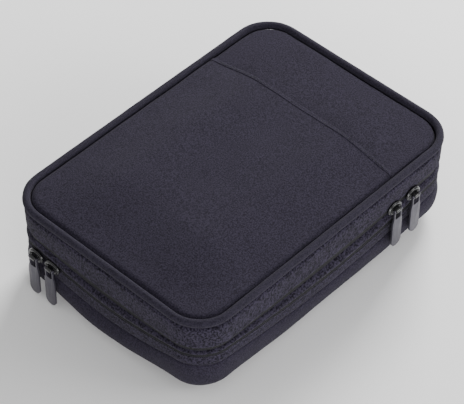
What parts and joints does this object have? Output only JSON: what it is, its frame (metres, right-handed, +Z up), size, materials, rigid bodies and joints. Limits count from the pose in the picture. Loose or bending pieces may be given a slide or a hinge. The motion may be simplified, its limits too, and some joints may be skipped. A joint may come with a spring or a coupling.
{
  "type": "cable organizer pouch",
  "caption": "Soft zipped travel case with two stacked compartments: a padded lid with a slip pocket, elastic cable loops on a middle panel, and padded bays in the base.",
  "frame": {"origin": "centre of the flat base, on the surface the pouch stands on", "axes": "X along the long side, Y along the short side towards the spine where the compartments hinge, +Z up"},
  "size_m": [0.2527, 0.1797, 0.0791],
  "materials": {
    "shell_fabric": "dark heather polyester cloth",
    "pocket_fabric": "dark heather polyester cloth",
    "piping_fabric": "cloth-covered cord",
    "padding": "closed-cell foam",
    "lining": "plain woven nylon",
    "mesh": "knitted mesh",
    "elastic": "ribbed elastic webbing",
    "divider_fabric": "brushed cloth over foam",
    "zip_tape": "woven tape",
    "zip_coil": "moulded nylon",
    "slider_metal": "gloss black enamel",
    "pull_metal": "gunmetal lacquer"
  },
  "bodies": {
    "base": {"base_panel": "shell_fabric", "base_pad": "padding", "base_shell": "shell_fabric", "base_spine": "shell_fabric", "base_lining": "lining", "base_zip_tape": "zip_tape", "base_zip_coil": "zip_coil", "base_zip_stops": "zip_coil", "long_divider": "divider_fabric", "cross_divider_left": "divider_fabric", "cross_divider_right": "divider_fabric"},
    "middle": {"middle_wall": "shell_fabric", "middle_spine": "shell_fabric", "divider_panel": "lining", "upper_zip_tape": "zip_tape", "upper_zip_coil": "zip_coil", "upper_zip_stops": "zip_coil", "lower_zip_tape": "zip_tape", "lower_zip_coil": "zip_coil", "cable_loops_front": "elastic", "cable_loops_rear": "elastic"},
    "lid": {"top_panel": "shell_fabric", "top_pad": "padding", "phone_pocket": "pocket_fabric", "top_piping": "piping_fabric", "lid_gusset": "shell_fabric", "lid_spine": "shell_fabric", "lid_lining": "lining", "lid_zip_tape": "zip_tape", "lid_zip_coil": "zip_coil", "mesh_pocket": "mesh", "mesh_binding": "elastic"},
    "upper_slider_front": {"upper_slider_front": "slider_metal"},
    "upper_pull_front": {"upper_pull_front": "pull_metal"},
    "upper_slider_rear": {"upper_slider_rear": "slider_metal"},
    "upper_pull_rear": {"upper_pull_rear": "pull_metal"},
    "lower_slider_front": {"lower_slider_front": "slider_metal"},
    "lower_pull_front": {"lower_pull_front": "pull_metal"},
    "lower_slider_rear": {"lower_slider_rear": "slider_metal"},
    "lower_pull_rear": {"lower_pull_rear": "pull_metal"}
  },
  "joints": [
    {"name": "lid_hinge", "type": "hinge", "parent": "middle", "child": "lid", "pos_m": [0, 0.0878, 0.048], "axis": [-1, 0, 0], "range_deg": [0, 170]},
    {"name": "middle_hinge", "type": "hinge", "parent": "base", "child": "middle", "pos_m": [0, 0.0878, 0.0345], "axis": [1, 0, 0], "range_deg": [-140, 0]},
    {"name": "upper_front_slide", "type": "slide", "parent": "middle", "child": "upper_slider_front", "axis": [1, 0, 0], "range_m": [-0.155, 0]},
    {"name": "upper_rear_slide", "type": "slide", "parent": "middle", "child": "upper_slider_rear", "axis": [1, 0, 0], "range_m": [0, 0.0205]},
    {"name": "lower_front_slide", "type": "slide", "parent": "base", "child": "lower_slider_front", "axis": [0, 1, 0], "range_m": [-0.106, 0]},
    {"name": "lower_rear_corner", "type": "hinge", "parent": "base", "child": "lower_slider_rear", "pos_m": [-0.097, 0.0605, 0.0345], "axis": [0, 0, -1], "range_deg": [0, 60]},
    {"name": "upper_front_pull", "type": "hinge", "parent": "upper_slider_front", "child": "upper_pull_front", "pos_m": [0.058, -0.0905, 0.048], "axis": [-1, 0, 0], "range_deg": [0, 170]},
    {"name": "upper_rear_pull", "type": "hinge", "parent": "upper_slider_rear", "child": "upper_pull_rear", "pos_m": [0.0765, -0.0905, 0.048], "axis": [-1, 0, 0], "range_deg": [0, 170]},
    {"name": "lower_front_pull", "type": "hinge", "parent": "lower_slider_front", "child": "lower_pull_front", "pos_m": [-0.127, 0.0455, 0.0345], "axis": [0, 1, 0], "range_deg": [0, 170]},
    {"name": "lower_rear_pull", "type": "hinge", "parent": "lower_slider_rear", "child": "lower_pull_rear", "pos_m": [-0.127, 0.0605, 0.0345], "axis": [0, 1, 0], "range_deg": [0, 170]}
  ]
}
